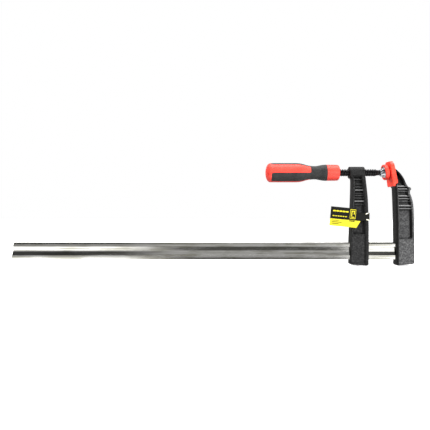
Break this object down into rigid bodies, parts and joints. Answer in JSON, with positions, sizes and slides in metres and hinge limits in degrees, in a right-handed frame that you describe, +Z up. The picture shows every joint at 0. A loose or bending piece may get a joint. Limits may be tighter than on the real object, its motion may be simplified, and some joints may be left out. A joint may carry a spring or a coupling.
{
  "type": "f clamp",
  "caption": "Screw clamp with an I-section rail, a fixed and a sliding cast jaw, a spindle with a turned grip handle and swivel pad, and a hang tag on the sliding jaw.",
  "frame": {"origin": "bottom centre of the whole clamp at rest: middle of its length, the mid-plane of the rail, the lowest edge of the two jaws", "axes": "+X along the rail from its free end to the fixed jaw, +Y through the jaws from their front to their back, +Z up the arms from the rail to the spindle"},
  "size_m": [0.69, 0.033, 0.1778],
  "materials": {
    "plated_rail": "bright zinc plated drawn steel, lightly streaked along its length",
    "hammered_paint": "black hammered enamel on a rough casting, half gloss",
    "pin_steel": "plain steel pin ends",
    "red_plastic": "moulded red plastic, soft gloss",
    "black_steel": "black oxide steel with an oily sheen",
    "swivel_steel": "pressed steel, dull zinc",
    "handle_red": "coral red moulded plastic, soft gloss",
    "soft_grip": "charcoal soft-touch elastomer, fine matt texture",
    "strap_black": "black coated card strap",
    "tag_print": "black laminated card with a yellow lower band and plain printed shapes"
  },
  "bodies": {
    "frame": {"rail": "plated_rail", "fixed_jaw": "hammered_paint", "fixed_jaw_pin_upper": "pin_steel", "fixed_jaw_pin_lower": "pin_steel", "fixed_jaw_cap": "red_plastic"},
    "sliding_jaw": {"sliding_jaw": "hammered_paint", "tag_strap": "strap_black", "tag_card": "tag_print"},
    "spindle_end": {"swivel_ball": "black_steel"},
    "spindle": {"spindle": "black_steel", "handle_core": "handle_red", "handle_grip": "soft_grip"},
    "swivel": {"swivel_plate": "swivel_steel"},
    "swivel_cap": {"swivel_cap": "red_plastic"}
  },
  "joints": [
    {"name": "jaw_slide", "type": "slide", "parent": "frame", "child": "sliding_jaw", "axis": [1, 0, 0], "range_m": [-0.571, 0]},
    {"name": "spindle_feed", "type": "slide", "parent": "sliding_jaw", "child": "spindle_end", "axis": [1, 0, 0], "range_m": [-0.0265, 0]},
    {"name": "spindle_turn", "type": "hinge", "parent": "spindle_end", "child": "spindle", "pos_m": [0.28, 0, 0.1583], "axis": [1, 0, 0], "range_deg": [-2380, 0]},
    {"name": "swivel_tilt", "type": "hinge", "parent": "spindle_end", "child": "swivel", "pos_m": [0.29531, 0, 0.1583], "axis": [0, 1, 0], "range_deg": [-8, 8]},
    {"name": "swivel_spin", "type": "hinge", "parent": "swivel", "child": "swivel_cap", "pos_m": [0.29531, 0, 0.1583], "axis": [0.9914, 0, 0.1305], "continuous": true}
  ],
  "couplings": [
    {"joint": "spindle_feed", "follows": "spindle_turn", "m_per_rad": 0.00063662}
  ]
}
